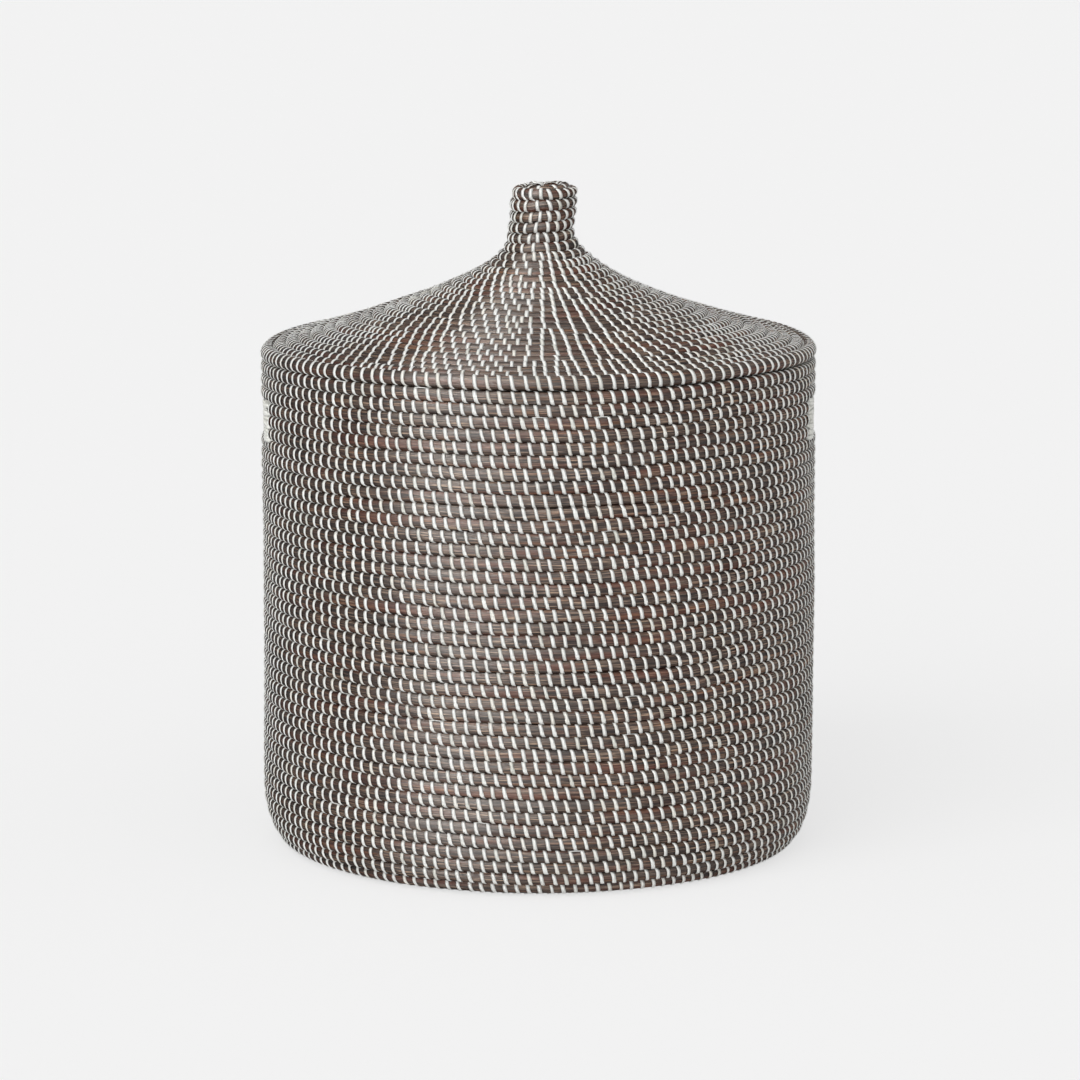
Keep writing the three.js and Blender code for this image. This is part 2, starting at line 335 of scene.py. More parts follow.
def makeStrip(look):
    # layer "strap" holds: along the strip in metres, across it from -1 to 1, and a number of its own
    material, tree, shader = newMaterial("plasticStrip")
    strap = addNode(tree, "Attribute", {"attribute_name": "strap"}).outputs["Vector"]
    parts = addNode(tree, "SeparateXYZ", inputs={"Vector": strap})
    streaks = noise(tree, stretched(tree, strap, look["streaks"]))
    colour = ramp(tree, parts.outputs["Z"], look["tones"])
    share = remap(tree, streaks, *look["streakSpan"], 0, look["streakShare"])
    tree.links.new(mixColours(tree, share, colour, look["streakTone"]), shader.inputs["Base Color"])
    tree.links.new(remap(tree, streaks, *noiseSpan, *look["roughness"]), shader.inputs["Roughness"])
    shader.inputs["Specular IOR Level"].default_value = look["gloss"]
    turn = calculate(tree, "MULTIPLY", parts.outputs["Y"], look["ribs"] * math.pi)
    wave = calculate(tree, "SINE", turn)
    height = calculate(tree, "ADD", calculate(tree, "MULTIPLY", wave, 0.5), streaks)
    roughen(tree, shader, height, look["ribStrength"], look["ribDepth"])
    return material


grass = makeGrass(grassLook)
strip = makeStrip(stripLook)
print("materials made")


# Outlines in the (radius, height) plane, from the edge of a coil to its middle

def makeOutline(points, side, samples=1600):
    # side is 1 where the outside lies to the right of the way to the edge, -1 to the left
    points = np.array(points)
    length = sumUp(np.hypot(*np.diff(points, axis=0).T))
    at = np.linspace(0, length[-1], samples)
    r = np.interp(at, length, points[:, 0])
    z = np.interp(at, length, points[:, 1])
    edgeR, edgeZ = -np.gradient(r, at), -np.gradient(z, at)
    size = np.hypot(edgeR, edgeZ)
    edgeR, edgeZ = edgeR / size, edgeZ / size
    return {"r": r, "z": z, "edgeR": edgeR, "edgeZ": edgeZ,
            "outR": side * edgeZ, "outZ": -side * edgeR}


def arc(centre, radii, start, end, steps=60):
    angles = np.radians(np.linspace(start, end, steps))
    return [(centre[0] + radii[0] * math.cos(a), centre[1] + radii[1] * math.sin(a)) for a in angles]


def bezier(points, steps=200):
    t = np.linspace(0, 1, steps)[:, None]
    a, b, c, d = (np.array(p) for p in points)
    return [tuple(p) for p in (1 - t) ** 3 * a + 3 * (1 - t) ** 2 * t * b
            + 3 * (1 - t) * t ** 2 * c + t ** 3 * d]


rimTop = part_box("rim_coil")[1][2]
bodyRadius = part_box("rim_coil")[1][0]
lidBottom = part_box("lid_rim_coil")[0][2]
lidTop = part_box("knob_cap_coil")[1][2]

hamper = {
    "wallRows": 41,           # from the base's edge to the rim
    "heelRows": 6,
    "wallParts": (16, 26),    # the rows at which the wall is cut into pieces
    "row": 0.0113,            # about the height of a row
    "bundle": 0.0116,         # thickness of the grass through the wall
    "heelReach": 0.0262,      # how far the heel draws in
    "heelRise": 0.054,        # and how far up it starts
    "rowsOverHandhole": 3,
    "handholeRows": 3,
    "handholeWidth": 0.088,
    "bindingWidth": 0.020,
    "bindingFree": 0.8,       # the share of a binding that stands past the ends of the rows
    "squareness": 2.6,
    "stitchesInTurn": 143.15,
    "stitchDrift": 0.12,      # in gaps between stitches
    "driftTurns": 0.3,
    "bareEnds": (0.03, 0.1),  # turns without stitches, at the rim and at the middle
    "openShare": 0.7,         # of the cut, where stitches over it hold no row below
    "joinFree": 1.2,          # joining bits keep out of so many times the cut
    "fall": 0.0072,           # how far the edge sinks at the sides and the back
    "fallFrom": math.radians(45),
    "fallOver": math.radians(55),
    "fallRows": (8, 20),      # it dies out between these rows down from the rim
    "leftFall": 0.0026,       # and further on the left
    "leftFrom": math.radians(22),
    "leftOver": math.radians(34),
    "leftEnd": 0.9,
    "wave": 0.0004,           # unevenness of a wall that is made by hand
    # its waves: size, how many in a turn, how they change with the height, and their place
    "waves": [(1, 3, 9, 1), (0.7, 7, -21, 2), (0.5, 12, 47, 5)],
    "wavePlaces": (0.7, 2.9, 1.3),  # of the wall outwards and upwards, and of the lid
    "waveRows": 3,
    "waveFoot": 0.04,
    "lidGap": 0.0010,         # under the lid at the front and the right
    "gapStart": (-0.7, 0.4),  # angles between which it opens
    "gapEnd": (1.5, 2.4),     # and closes
    "gapRows": 4,
}

lid = {
    "bundle": 0.0106,
    "squareness": 2.2,
    "wideRow": 0.0113,
    "thinRow": 0.0098,
    "thinUpTo": 0.085,
    "wideFrom": 0.120,
    "rimThickness": 0.0116,
    "knobRadius": 0.0305,
    "shoulder": 0.0068,
    "crown": 0.0012,
    "knobWall": 0.035,
    "capHeight": 0.011,
    "neckSpread": 0.004,
    "neckDrop": 0.034,
    "skirtRun": 0.097,
    "skirtRise": 0.025,
    "lean": 0.0047,             # the knob's top stands this far off the middle, towards +X
    "leanAtFoot": 0.42,         # the share of it that the cone takes up
    "leanOver": 0.025,
    "tilt": 0.13,               # the knob's rows rise towards +X by this slope
    "tiltUnder": 0.045,         # it sets in so far under the knob
    "tiltOver": 0.055,
    "topTilt": 0.07,            # and the slope of its top
    "topOver": 0.022,
    "calmEdge": 8,              # its waves die out over the last eighth of the way to the edge
    "bareEnds": (0.02, 0.1),    # turns without stitches, at the edge and at the middle
    "firstStitches": 5,         # round the middle of the knob's top
    "leastRadius": 0.005,
    "knobSpacing": 0.0087,      # of the stitches on the knob
    "stitchSpacing": 0.0106,    # and from spacingRadius on
    "spacingRadius": 0.15,
    "firstSpread": 0.12,        # in gaps between stitches
    "placeSpread": 0.02,        # the same, from row to row
    "gapSpread": (0.85, 1.15),  # chance in which gaps count as the widest
    "evening": 0.2,             # a place moves by this share of the difference of its two gaps
    "setOff": (0.500, 0.76, 0.05),  # the sector where every other row is set off
    "upright": (0.490, 0.66, 0.08),  # and where its stitches lean less
    "sectorBlend": 0.02,
    "slant": 0.0034,
    "lessSlant": 0.75,
    "pierce": (0.0011, 0.0006, 0.0),  # on the cone, the knob and its cap
}

stripRoom = 0.0004              # from the grass to the outer face of the strip
heelReach, heelRise = hamper["heelReach"], hamper["heelRise"]
bodyLine = [(bodyRadius, rimTop)]
bodyLine += arc((bodyRadius - heelReach, heelRise), (heelReach, heelRise), 0, -90)
bodyLine += [(0, 0)]
bodyOutline = makeOutline(bodyLine, 1)

knobRadius = lid["knobRadius"]
half = lid["rimThickness"] / 2 + stripRoom
rimRow = np.array([bodyRadius - half, lidBottom + half])
skirt = np.array([-lid["skirtRun"], lid["skirtRise"]])
skirtWay = unit(skirt)
skirtFace = np.array([skirtWay[1], -skirtWay[0]])
coneEdge = rimRow + skirtWay * half + skirtFace * (lid["bundle"] / 2 + stripRoom)
knobFoot = lidTop - lid["capHeight"] - lid["knobWall"]
capEdge = lidTop - lid["crown"]
shoulder = lid["shoulder"]
lidLine = bezier([tuple(coneEdge), tuple(coneEdge + skirt),
                  (knobRadius + lid["neckSpread"], knobFoot - lid["neckDrop"]),
                  (knobRadius, knobFoot)])
lidLine += arc((knobRadius - shoulder, capEdge - shoulder), (shoulder, shoulder), 0, 90)
lidLine += [(0, lidTop)]
lidOutline = makeOutline(lidLine, -1)


# Settling: the edge sinks away from the front, the lid with it, and the wall is a little uneven

def signedAngle(angle):
    return np.mod(angle + math.pi, 2 * math.pi) - math.pi


def fallAt(angle):
    signed = signedAngle(angle)
    both = hamper["fall"] * smoothStep((np.abs(signed) - hamper["fallFrom"]) / hamper["fallOver"])
    left = (smoothStep((-signed - hamper["leftFrom"]) / hamper["leftOver"])
            * smoothStep((math.pi + signed) / hamper["leftEnd"]))
    return both + hamper["leftFall"] * left


def gapAt(angle):
    signed = signedAngle(angle)
    sector = between(signed, *hamper["gapStart"]) * (1 - between(signed, *hamper["gapEnd"]))
    return hamper["lidGap"] * sector


def waves(angle, height, shift):
    return sum(size * np.sin(inTurn * angle + climb * height + place * shift)
               for size, inTurn, climb, place in hamper["waves"])


def settleBody(points, angle):
    height = points[..., 2].copy()
    rows = (rimTop - height) / hamper["row"]
    free = smoothStep(rows / hamper["waveRows"]) * smoothStep(height / hamper["waveFoot"])
    free = hamper["wave"] * free
    outward, upward, _ = hamper["wavePlaces"]
    out = 1 + free * waves(angle, height, outward) / bodyRadius
    points[..., 0] *= out
    points[..., 1] *= out
    points[..., 2] += free * waves(angle, height, upward)
    points[..., 2] -= fallAt(angle) * (1 - between(rows, *hamper["fallRows"]))
    points[..., 2] -= gapAt(angle) * (1 - smoothStep(rows / hamper["gapRows"]))
    points[..., 2] = np.maximum(points[..., 2], 0)
    return points


def settleLid(points, angle):
    height = points[..., 2].copy()
    radius = np.hypot(points[..., 0], points[..., 1])
    out = np.clip((radius - knobRadius) / (bodyRadius - knobRadius), 0, 1)
    rise = np.clip((height - lidBottom - half) / (knobFoot - lidBottom - half), 0, 1)
    free = hamper["wave"] * smoothStep((1 - out) * lid["calmEdge"])
    onKnob = smoothStep((height - knobFoot + lid["tiltUnder"]) / lid["tiltOver"])
    onTop = between(height, lidTop - lid["topOver"], lidTop)
    overFoot = smoothStep((height - knobFoot) / lid["leanOver"])
    wave = waves(angle, radius * 2, hamper["wavePlaces"][2])
    points[..., 2] += free * wave - fallAt(angle) * out
    tilt = lid["tilt"] * onKnob + (lid["topTilt"] - lid["tilt"]) * onTop
    points[..., 2] += tilt * points[..., 0]
    points[..., 0] += lid["lean"] * (lid["leanAtFoot"] * rise + (1 - lid["leanAtFoot"]) * overFoot)
    return points


# A coil. Its turns are counted back from its end at the edge, which lies at the back.

coilShape = {
    "taper": 0.1,         # share of the last turn over which the coil thins out
    "endThickness": 0.3,
    "shortBy": 0.62,      # turns fewer than rows, because a spiral starts off its middle
    "button": 0.35,       # share of a turn over which the start reaches in to the middle
    "leastHalf": 0.0004,  # half the height of a row, where it has thinned out
    "unevenEvery": 0.06,
    "swell": 0.02,        # uneven thickness
    "sway": 0.00015,      # uneven height
    "evenJoin": 0.06,     # share of a level row over which it meets itself evenly
    "table": 60,          # steps in a row to add up its length
    "leastRadius": 0.0004,
    "endCut": 0.002,      # turns left off where the end gets too thin
}


def makeCoil(outline, bundle, winds, settle, squareness, rowHeight=None, levelRows=0):
    # winds is 1 where the angle grows on the way back from the end, -1 where it falls. A coil
    # of level rows has no end: each row closes in itself. Its section is an ellipse where the
    # squareness is 2, and squarer with more. The height of a row is a number, or a function of
    # the radius.
    thick = bundle / 2 + stripRoom
    middle = np.stack([outline["r"] - outline["outR"] * thick,
                       outline["z"] - outline["outZ"] * thick])
    steps = np.hypot(*np.diff(middle))
    along = sumUp(steps)
    if rowHeight is None:
        count = along / along[-1] * levelRows
    else:
        height = rowHeight(middle[0, 1:]) if callable(rowHeight) else rowHeight
        count = sumUp(steps / height)
    coil = {"outline": outline, "bundle": bundle, "winds": winds, "settle": settle,
            "count": count, "along": along, "rows": count[-1], "level": bool(levelRows),
            "squareness": squareness}
    coil["turnsInAll"] = levelRows or coil["rows"] - coilShape["shortBy"]
    turns = np.linspace(0, coil["turnsInAll"], int(coil["rows"] * coilShape["table"]) + 2)
    reach = frameAt(coil, turns, plain=True)["r"]
    coil["turnTable"] = turns
    coil["distance"] = sumUp(math.pi * (reach[1:] + reach[:-1]) * np.diff(turns))
    return coil


def distanceAt(coil, turns):
    return np.interp(turns, coil["turnTable"], coil["distance"])


def seamsAt(coil, turns):
    # rows from the edge to the bundle's two seams, and how thick it is there
    row = np.floor(turns) + 1
    if coil["level"]:
        return row - 1, row, np.ones_like(turns)
    past = turns + 1 - row
    grown = smoothStep(past / coilShape["taper"])
    spread = coil["rows"] / (coil["rows"] - 0.5 - past + grown)
    inner = np.minimum((row - 1 + grown) * spread, coil["rows"])
    # the coil starts as a tight button, so its first turn reaches in to the middle
    button = smoothStep((turns - coil["turnsInAll"] + 1) / coilShape["button"])
    return (np.maximum(row - 2 + grown, 0) * spread, inner + (coil["rows"] - inner) * button,
            np.where(row == 1, grown, 1.0))


def frameAt(coil, turns, plain=False):
    # centre of the bundle, its half sizes, and the directions of the outline there
    outer, inner, share = seamsAt(coil, turns)
    outline = coil["outline"]
    spot = {key: np.interp((outer + inner) / 2, coil["count"], outline[key]) for key in outline}
    ends = [np.interp(seam, coil["count"], coil["along"]) for seam in (outer, inner)]
    spot["high"] = np.maximum((ends[1] - ends[0]) / 2, coilShape["leastHalf"])
    least = coilShape["endThickness"]
    spot["deep"] = coil["bundle"] / 2 * (least + (1 - least) * share)
    sway = 0.0
    if not plain:
        swell, sway = slowNoise(7, distanceAt(coil, turns), coilShape["unevenEvery"], 2).T
        if coil["level"]:
            swell, sway = swell * fromJoin(turns), sway * fromJoin(turns)
        spot["deep"] = spot["deep"] * (1 + coilShape["swell"] * swell)
        sway = sway * coilShape["sway"]
    back = spot["deep"] + stripRoom
    spot["r"] = spot["r"] - spot["outR"] * back + spot["edgeR"] * sway
    spot["z"] = spot["z"] - spot["outZ"] * back + spot["edgeZ"] * sway
    return spot


def fromJoin(turns):
    # 0 where a level row meets itself, 1 away from there
    return smoothStep(np.minimum(turns % 1, 1 - turns % 1) / coilShape["evenJoin"])


def angleAt(coil, turns):
    return math.pi + coil["winds"] * 2 * math.pi * turns


def onSection(coil, spot, angle, high, deep):
    # points beside the bundle's centre, towards the edge by high and outwards by deep
    spot = {key: values[:, None] for key, values in spot.items()}
    radius = spot["r"] + spot["edgeR"] * high + spot["outR"] * deep
    height = spot["z"] + spot["edgeZ"] * high + spot["outZ"] * deep
    return around(np.maximum(radius, coilShape["leastRadius"]), angle, height)


def section(coil, angles):
    # 0 is the outer crest, 90 degrees the seam towards the edge
    cos, sin = np.cos(angles), np.sin(angles)
    power = 2 / coil["squareness"]
    return np.sign(sin) * np.abs(sin) ** power, np.sign(cos) * np.abs(cos) ** power


# The grass of a coil

bundleShape = {
    "lines": np.radians(np.concatenate([np.arange(-85, 86, 10), np.linspace(108, 252, 7)])),
    "fullness": 1.045,  # a row is taller than its share, so that it presses on the next
    "step": 0.0095,
    "fewest": 30,       # steps in a turn
    "table": 300,       # steps in a turn to place them by
    "ridges": 0.045,    # strands, as shares of the half thickness
    "ridgeLength": 0.07,
    "grainRadius": 0.006,
    "rowShift": 0.37,   # of the grain, from row to row
}


def sweepBundle(coil, first, last, closed=False):
    # a length of the bundle: points, faces and the layer that the grass material reads
    shape = bundleShape
    table = np.linspace(first, last, int(shape["table"] * (last - first)) + 2)
    reach = frameAt(coil, table, plain=True)["r"]
    density = np.maximum(shape["fewest"], 2 * math.pi * reach / shape["step"])
    steps = sumUp((density[1:] + density[:-1]) / 2 * np.diff(table))
    turns = np.interp(np.linspace(0, steps[-1], math.ceil(steps[-1]) + 1), steps, table)
    if closed:
        turns = turns[:-1]
    spot = frameAt(coil, turns)
    lines = shape["lines"]
    up, out = section(coil, lines)
    distance = distanceAt(coil, turns)
    strands = np.abs(slowNoise(3, distance, shape["ridgeLength"], len(lines)))
    if closed:
        strands *= fromJoin(turns)[:, None]
    full = 1 - shape["ridges"] * strands
    angle = np.broadcast_to(angleAt(coil, turns)[:, None], full.shape)
    high = shape["fullness"] * spot["high"][:, None] * up * full
    deep = spot["deep"][:, None] * out * full
    points = coil["settle"](onSection(coil, spot, angle, high, deep), angle)
    grain = np.stack(np.broadcast_arrays(
        distance[:, None], shape["grainRadius"] * lines[None, :],
        shape["rowShift"] * np.floor(turns)[:, None]), -1)
    sides, ends = tubeFaces(len(turns), len(lines), closed)
    groups = [(sides, True)] if closed else [(sides, True), (ends, False)]
    return points.reshape(-1, 3), groups, grain.reshape(-1, 3)


def grassPiece(name, coil, spans, body, *nodes):
    points, groups, grain = joinParts([sweepBundle(coil, *span) for span in spans])
    piece = makePiece(name, points, groups, {"grain": grain}, grass)
    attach(piece, body)
    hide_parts(*nodes)


# Flat strips. Each is a band along a path, with its outer face towards outward.

stitchShape = {
    "width": 0.0034,
    "crown": 0.0002,       # the middle stands out past the edges
    "lift": 0.0005,        # over the grass
    "liftSpread": (0.85, 1.15),
    "liftAtSeam": 0.5,     # the share of it that is left between two rows
    "slant": 0.0043,       # how far it leans over one row
    "slantCurve": 1.35,    # more of the lean lies near the pierced end
    "pierce": 0.0011,      # how far past the seam it goes in
    "pierceSpread": (0.7, 1.3),
    "endDepth": 0.15,      # its ends stop so far off the wall's middle, in half thicknesses
    "knots": (8, 7),       # on the outside and the inside
    "leastRadius": 0.009,  # nearer to the axis a slant takes the angle that it has here
    "openWidth": 0.9,      # at least, where it is round nothing else
    "angles": np.radians([-74, -52, -27, 0, 27, 52, 76, 104, 140, 180, 220, 254]),
    "widths": np.array([0.45, 0.8, 0.96, 1, 1, 1, 1, 1, 1, 1, 1, 1, 0.8, 0.4]),
    "widthSpread": 0.05,
    "placeSpread": 0.00035,
    "slantSpread": 0.0005,
}


def bandMesh(path, outward, width, settle, angle, rng, crown=stitchShape["crown"]):
    count, knots = path.shape[:2]
    way = unit(np.gradient(path, axis=1))
    face = unit(outward - (outward * way).sum(-1, keepdims=True) * way)
    side = np.cross(face, way) * width[..., None] / 2
    corners = np.stack([path - side, path + face * crown, path + side], 2)
    points = settle(corners, np.broadcast_to(angle[..., None], corners.shape[:-1]))
    lengths = np.concatenate([np.zeros((count, 1)), np.cumsum(
        np.linalg.norm(np.diff(path, axis=1), axis=-1), axis=1)], 1)
    strap = np.stack(np.broadcast_arrays(
        lengths[..., None], np.array([-1.0, 0.0, 1.0]), rng.random(count)[:, None, None]), -1)
    sides, ends = tubeFaces(knots, 3)
    under = np.arange(len(sides)) % 3 == 2
    base = (np.arange(count) * knots * 3)[:, None, None]
    groups = [((faces[None] + base).reshape(-1, faces.shape[1]), smooth)
              for faces, smooth in ((sides[~under], True), (sides[under], False), (ends, False))]
    return points.reshape(-1, 3), groups, strap.reshape(-1, 3)


def stitchLoops(coil, turns, seed, spacing, slant=stitchShape["slant"], openBelow=None,
                pierce=stitchShape["pierce"]):
    # strips once round the bundle and into the row before; round nothing else where it is open
    shape = stitchShape
    rng = np.random.default_rng(seed)
    count = len(turns)
    spot = frameAt(coil, turns)
    up, out = section(coil, shape["angles"])
    lift = shape["lift"] * rng.uniform(*shape["liftSpread"], count)[:, None]
    high = (spot["high"][:, None] + lift * shape["liftAtSeam"]) * up
    deep = (spot["deep"][:, None] + lift) * out
    pierced = -spot["high"] - pierce * rng.uniform(*shape["pierceSpread"], count)
    into = shape["endDepth"] * spot["deep"]
    if openBelow is not None:
        pierced = np.where(openBelow, -spot["high"] - lift[:, 0], pierced)
        into = np.where(openBelow, 0.0, into)
    high = np.column_stack([pierced, high, pierced])
    deep = np.column_stack([into, deep, -into])
    lean = (slant + shape["slantSpread"] * rng.standard_normal(count))[:, None]
    # outside it goes from the pierced end over the crest to the other seam
    outside, inside = (np.linspace(0, 1, knots) for knots in shape["knots"])
    inside = inside[1:]
    along = np.column_stack([lean * (1 - outside) ** shape["slantCurve"], (lean - spacing) * inside])
    along += (shape["placeSpread"] * rng.standard_normal(count))[:, None]
    radius = np.maximum(spot["r"], shape["leastRadius"])[:, None]
    angle = angleAt(coil, turns)[:, None] + coil["winds"] * along / radius
    path = onSection(coil, spot, angle, high, deep)
    outward = path - onSection(coil, spot, angle, 0 * high, 0 * deep)
    width = shape["width"] * (1 + shape["widthSpread"] * rng.standard_normal(count))[:, None]
    width = width * shape["widths"]
    if openBelow is not None:
        wide = np.maximum(width, shape["width"] * shape["openWidth"])
        width = np.where(openBelow[:, None], wide, width)
    return bandMesh(path, outward, width, coil["settle"], angle, rng)


bitShape = {
    "reach": np.linspace(-0.1, 1.1, 6),  # in gaps between stitches
    "angles": (58, 70),  # on the section, in degrees
    "lift": 0.0004,
    "arch": 0.0005,
    "width": 0.0013,
}


def joiningBits(coil, turns, seed, spacing):
    # where a new strip begins, a short bit of it lies along the seam
    rng = np.random.default_rng(seed)
    spot = frameAt(coil, turns)
    angle = angleAt(coil, turns)[:, None] + spacing * bitShape["reach"] / spot["r"][:, None]
    up, out = section(coil, np.radians(rng.uniform(*bitShape["angles"], len(turns))))
    lift = bitShape["lift"] + bitShape["arch"] * np.sin(math.pi * np.clip(bitShape["reach"], 0, 1))
    high = (spot["high"] * up)[:, None] + lift * up[:, None]
    deep = (spot["deep"] * out)[:, None] + lift
    path = onSection(coil, spot, angle, high, deep)
    outward = path - onSection(coil, spot, angle, 0 * high, 0 * deep)
    width = np.full(path.shape[:2], bitShape["width"])
    return bandMesh(path, outward, width, coil["settle"], angle, rng)


def strapPiece(name, parts, body, *nodes):
    points, groups, strap = joinParts(parts)
    piece = makePiece(name, points, groups, {"strap": strap}, strip)
    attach(piece, body)
    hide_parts(*nodes)


def spacingAt(radius, inTurn):
    return 2 * math.pi * radius / inTurn


# The body, row by row from its rim down

bodyRowHeight = (rimTop - heelRise + np.hypot(*np.diff(np.array(
    arc((0, 0), (heelReach, heelRise), 0, 90)), axis=0).T).sum()) / hamper["wallRows"]
bodyCoil = makeCoil(bodyOutline, hamper["bundle"], 1, settleBody,
                    hamper["squareness"], bodyRowHeight)
holeFirst = hamper["rowsOverHandhole"]
holeLast = holeFirst + hamper["handholeRows"]
wallRows = hamper["wallRows"]
wallMiddle, wallLower = hamper["wallParts"]
heelTop = wallRows - hamper["heelRows"]
bodyEnd = bodyCoil["turnsInAll"]
cutHalf = hamper["handholeWidth"] / 2 + hamper["bindingWidth"] * hamper["bindingFree"]
cutAngle = math.asin(cutHalf / bodyRadius)
cutTurns = cutAngle / (2 * math.pi)
bodySpacing = spacingAt(bodyRadius, hamper["stitchesInTurn"])

# the coil goes back from its end over -X to the front and over +X: a quarter turn is a side
frontSpans = [(row + 0.25 + cutTurns, row + 0.75 - cutTurns) for row in range(holeFirst, holeLast)]
backSpans = [span for row in range(holeFirst, holeLast)
             for span in ((row, row + 0.25 - cutTurns), (row + 0.75 + cutTurns, row + 1))]
bodyLengths = [
    ("rimGrass", [(coilShape["endCut"], 1)], "rim_coil"),
    ("gripGrass", [(1, holeFirst)], "grip_coil"),
    ("handholeGrassFront", frontSpans, "handhole_rows_front"),
    ("handholeGrassBack", backSpans, "handhole_rows_back"),
    ("wallGrassUpper", [(holeLast, wallMiddle)], "wall_coil"),
    ("wallGrassMiddle", [(wallMiddle, wallLower)], "wall_coil"),
    ("wallGrassLower", [(wallLower, heelTop)], "wall_coil"),
    ("heelGrass", [(heelTop, wallRows)], "heel_coil"),
    ("baseGrass", [(wallRows, bodyEnd)], "base_coil"),
]
for name, spans, node in bodyLengths:
    grassPiece(name, bodyCoil, spans, "basket", node)
print("body coil wound")


def wallStitches():
    # so many to a turn on the wall, with a slow drift, and evenly far apart on the base
    inTurn = hamper["stitchesInTurn"]
    bareRim, bareMiddle = hamper["bareEnds"]
    wall = (np.arange(int(bareRim * inTurn), int((wallRows + 1) * inTurn)) + 0.5) / inTurn
    drift = slowNoise(17, wall, hamper["driftTurns"])[:, 0] * hamper["stitchDrift"] / inTurn
    start, end = distanceAt(bodyCoil, (wallRows + 1, bodyEnd - bareMiddle))
    wanted = np.arange(start, end, bodySpacing)
    base = np.interp(wanted, bodyCoil["distance"], bodyCoil["turnTable"])
    return np.concatenate([wall + drift, base])


def byHole(turns, reach):
    # is a place beside or over a handhole
    part = turns % 1
    return np.minimum(np.abs(part - 0.25), np.abs(part - 0.75)) < reach


bodyTurns = wallStitches()
besideHole = (bodyTurns >= holeFirst) & (bodyTurns < holeLast)
bodyTurns = bodyTurns[~(besideHole & byHole(bodyTurns, cutTurns))]

# name, first and last row, how many joining bits, and the nodes
bodyZones = [
    ("rimStitches", 0, 1, 3, ["rim_coil"]),
    ("gripStitches", 1, holeFirst, 5, ["grip_coil"]),
    ("handholeStitches", holeFirst, holeLast, 3, ["handhole_rows_front", "handhole_rows_back"]),
    ("wallStitchesUpper", holeLast, wallMiddle, 12, ["wall_coil"]),
    ("wallStitchesMiddle", wallMiddle, wallLower, 12, ["wall_coil"]),
    ("wallStitchesLower", wallLower, heelTop, 12, ["wall_coil"]),
    ("heelStitches", heelTop, wallRows, 4, ["heel_coil"]),
    ("baseStitches", wallRows, bodyEnd, 3, ["base_coil"]),
]
for k, (name, low, high, bits, nodes) in enumerate(bodyZones):
    turns = bodyTurns[(bodyTurns >= low) & (bodyTurns < high)]
    openBelow = byHole(turns, cutTurns * hamper["openShare"]) & (np.floor(turns) == holeFirst - 1)
    clear = turns[~byHole(turns, cutTurns * hamper["joinFree"])]
    starts = np.random.default_rng(60 + k).choice(clear, bits, replace=False)
    parts = [stitchLoops(bodyCoil, turns, 100 + k, bodySpacing, openBelow=openBelow),
             joiningBits(bodyCoil, starts, 130 + k, bodySpacing)]
    strapPiece(name, parts, "basket", *nodes)
print("body stitched")


# Strip bindings at the edges of the handholes

bindingShape = {
    "stripHeight": 0.0050,
    "pitch": 0.0027,
    "proud": 0.0010,
    "proudSpread": 0.0002,
    "settled": 0.0006,       # how far it presses into the grass
    "wall": 0.0122,
    "heart": 0.006,          # the wraps face away from this depth
    "tuck": (0.001, 0.005),  # its ends go so far on and into the wall
    "overlap": 0.0025,       # over the rows above and below
    "round": 0.007,
    "raggedness": 0.0011,
    "spread": 0.002,         # wider at the bottom
    "tiltSpread": 0.0007,
    "crown": 0.0007,
    "dullness": 0.08,        # the share of the strips' tones that is used, from the dull end
}


def bindingPlan(reachOut, reachIn, edge, proud):
    # one wrap at the +X, +Y edge, seen from above: in from outside, round the edge, back inside
    shape = bindingShape
    outer = bodyRadius + proud - shape["settled"]
    inner = bodyRadius - shape["wall"] - proud + shape["settled"]
    start = edge + shape["round"]
    control = start - shape["round"] / 0.75     # a curve goes three quarters of the way to it

    def across(radius, y):
        return math.sqrt(radius * radius - y * y), y

    outside = [across(outer, y) for y in np.linspace(reachOut, start, 6)]
    turn = bezier([across(outer, start), (across(outer, start)[0], control),
                   (across(inner, start)[0], control), across(inner, start)], 8)[1:-1]
    inside = [across(inner, y) for y in np.linspace(start, reachIn, 6)]
    on, depth = shape["tuck"]
    return np.array([across(outer - depth, reachOut + on)] + outside + turn + inside
                    + [across(inner + depth, reachIn + on)])


def makeBinding(name, signX, signY, seed, node):
    shape = bindingShape
    rng = np.random.default_rng(seed)
    edge = hamper["handholeWidth"] / 2
    far = edge + hamper["bindingWidth"]
    top = rimTop - holeFirst * bodyRowHeight + shape["overlap"]
    bottom = rimTop - holeLast * bodyRowHeight - shape["overlap"]
    count = int((top - bottom - shape["stripHeight"]) / shape["pitch"]) + 1
    levels = np.linspace(bottom, top, count + 2)[1:-1]
    plans = []
    for level in levels:
        wider = shape["spread"] * (top - level) / (top - bottom)
        outside, inside = far + rng.normal(0, shape["raggedness"], 2)
        proud = shape["proud"] + rng.uniform(-shape["proudSpread"], shape["proudSpread"])
        plans.append(bindingPlan(outside + wider, inside, edge, proud))
    plans = np.array(plans)
    knots = plans.shape[1]
    tilt = rng.normal(0, shape["tiltSpread"], (count, 1)) * np.linspace(-1, 1, knots)
    path = np.concatenate([plans, (levels[:, None] + tilt)[..., None]], 2)
    heart = np.array([math.sqrt((bodyRadius - shape["heart"]) ** 2 - far ** 2), far, 0])
    outward = (path - heart) * (1, 1, 0)
    mirror = np.array([signX, signY, 1])
    path, outward = path * mirror, outward * mirror
    if signX * signY < 0:
        path, outward = path[:, ::-1], outward[:, ::-1]
    angle = np.arctan2(path[..., 0], -path[..., 1])
    width = np.full((count, knots), shape["stripHeight"])
    band = bandMesh(path, outward, width, settleBody, angle, rng, shape["crown"])
    band[2][:, 2] *= shape["dullness"]
    strapPiece(name, [band], "basket", node)


